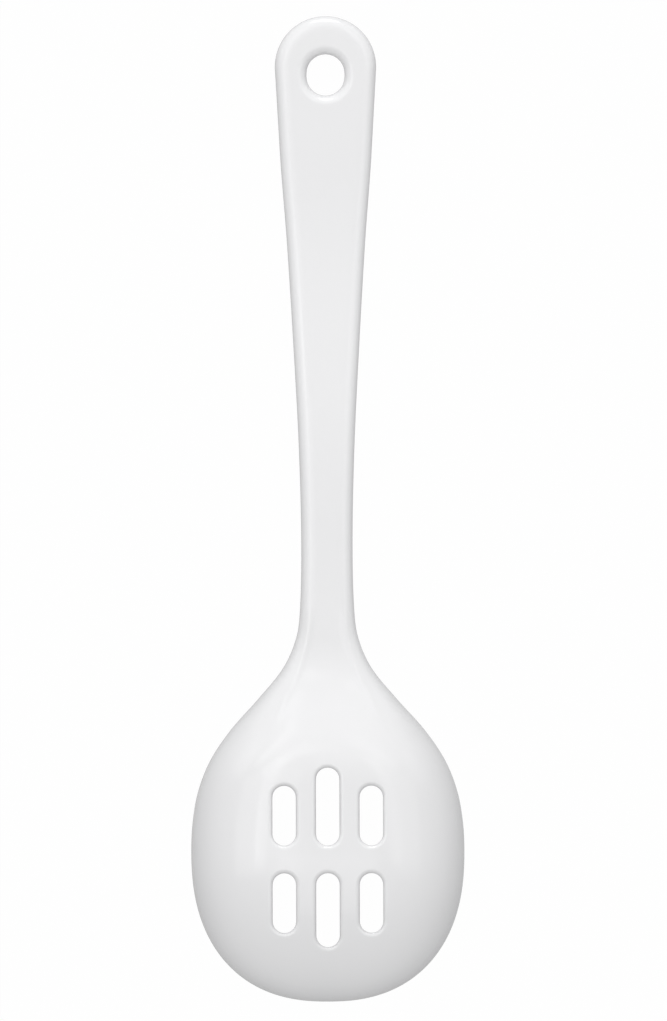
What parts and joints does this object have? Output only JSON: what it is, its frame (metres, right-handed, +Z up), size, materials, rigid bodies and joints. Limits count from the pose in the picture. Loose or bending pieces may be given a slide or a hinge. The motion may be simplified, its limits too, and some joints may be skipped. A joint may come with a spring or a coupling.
{
  "type": "slotted serving spoon",
  "caption": "Slotted serving spoon in glossy white plastic: oval bowl with rounded-end slots, narrow neck and flat handle with a hanging hole.",
  "frame": {"origin": "on the table that the spoon lies on, under the middle of its length and width", "axes": "+Y from the tip of the bowl towards the end of the handle, +X across, +Z up out of the rounded back; the spoon lies face down"},
  "size_m": [0.0808, 0.29, 0.022],
  "materials": {
    "moulded_plastic": "glossy white, smooth moulded surface"
  },
  "bodies": {
    "root": {"bowl": "moulded_plastic", "neck": "moulded_plastic", "handle": "moulded_plastic", "hanging_end": "moulded_plastic"}
  },
  "joints": []
}
